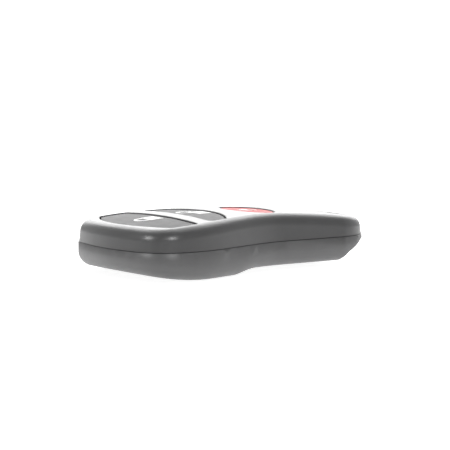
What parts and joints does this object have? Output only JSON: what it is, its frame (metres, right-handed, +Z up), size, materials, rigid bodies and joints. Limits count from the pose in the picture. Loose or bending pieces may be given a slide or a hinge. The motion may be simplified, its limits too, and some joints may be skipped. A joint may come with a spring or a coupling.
{
  "type": "car key fob",
  "caption": "Flat waisted remote key fob with rubber push buttons in a two-part case, a coin cell and a ring slot.",
  "frame": {"origin": "centre of the overall box in plan, at the plane the fob lies on", "axes": "+X from the head end to the tail with the ring slot, +Y across, +Z up through the buttons"},
  "size_m": [0.0644, 0.0354, 0.0126],
  "materials": {
    "case_upper": "fine satin moulded",
    "case_lower": "fine satin moulded",
    "button_rubber": "matt",
    "panic_rubber": "matt",
    "symbol_ink": "printed, slightly raised",
    "screw": "blackened",
    "mat": "matt",
    "board": "solder mask over glass fibre",
    "copper": "plated copper",
    "cell": "nickel plated",
    "gasket": "moulded",
    "spring_steel": "bright",
    "chip": "moulded",
    "leads": "tinned",
    "metal_can": "bright",
    "coil": "wound copper",
    "capacitor": "fired",
    "resistor": "coated",
    "switch_body": "moulded",
    "plunger": "moulded"
  },
  "bodies": {
    "case": {"top_shell": "case_upper", "bottom_shell": "case_lower", "case_screw": "screw", "keypad_mat": "mat", "circuit_board": "board", "antenna_loop": "copper", "battery_can": "cell", "battery_gasket": "gasket", "battery_cap": "cell", "positive_contact": "spring_steel", "negative_contact": "spring_steel", "control_chip": "chip", "control_chip_legs": "leads", "crystal": "metal_can", "resonator": "metal_can", "transistor": "chip", "tuning_coil": "coil", "capacitors": "capacitor", "resistors": "resistor", "lock_switch_base": "switch_body", "lock_switch_cover": "spring_steel", "lock_switch_legs": "leads", "unlock_switch_base": "switch_body", "unlock_switch_cover": "spring_steel", "unlock_switch_legs": "leads", "panic_switch_base": "switch_body", "panic_switch_cover": "spring_steel", "panic_switch_legs": "leads"},
    "lock_button": {"lock_button": "button_rubber", "lock_symbol": "symbol_ink", "lock_dome": "mat"},
    "lock_plunger": {"lock_switch_plunger": "plunger", "lock_switch_disc": "spring_steel"},
    "unlock_button": {"unlock_button": "button_rubber", "unlock_symbol": "symbol_ink", "unlock_dome": "mat"},
    "unlock_plunger": {"unlock_switch_plunger": "plunger", "unlock_switch_disc": "spring_steel"},
    "panic_button": {"panic_button": "panic_rubber", "panic_symbol": "symbol_ink", "panic_dome": "mat"},
    "panic_plunger": {"panic_switch_plunger": "plunger", "panic_switch_disc": "spring_steel"}
  },
  "joints": [
    {"name": "lock_press", "type": "slide", "parent": "case", "child": "lock_button", "axis": [0, 0, -1], "range_m": [0, 0.0003], "stiffness_N_per_m": 3000, "springref_m": -0.0003, "deforming": ["lock_dome"]},
    {"name": "lock_plunger_press", "type": "slide", "parent": "case", "child": "lock_plunger", "axis": [0, 0, -1], "range_m": [0, 0.0003], "deforming": ["lock_switch_disc"]},
    {"name": "unlock_press", "type": "slide", "parent": "case", "child": "unlock_button", "axis": [0, 0, -1], "range_m": [0, 0.0003], "stiffness_N_per_m": 3000, "springref_m": -0.0003, "deforming": ["unlock_dome"]},
    {"name": "unlock_plunger_press", "type": "slide", "parent": "case", "child": "unlock_plunger", "axis": [0, 0, -1], "range_m": [0, 0.0003], "deforming": ["unlock_switch_disc"]},
    {"name": "panic_press", "type": "slide", "parent": "case", "child": "panic_button", "axis": [0, 0, -1], "range_m": [0, 0.0003], "stiffness_N_per_m": 3000, "springref_m": -0.0003, "deforming": ["panic_dome"]},
    {"name": "panic_plunger_press", "type": "slide", "parent": "case", "child": "panic_plunger", "axis": [0, 0, -1], "range_m": [0, 0.0003], "deforming": ["panic_switch_disc"]}
  ],
  "couplings": [
    {"joint": "lock_plunger_press", "follows": "lock_press", "ratio": 1},
    {"joint": "unlock_plunger_press", "follows": "unlock_press", "ratio": 1},
    {"joint": "panic_plunger_press", "follows": "panic_press", "ratio": 1}
  ]
}
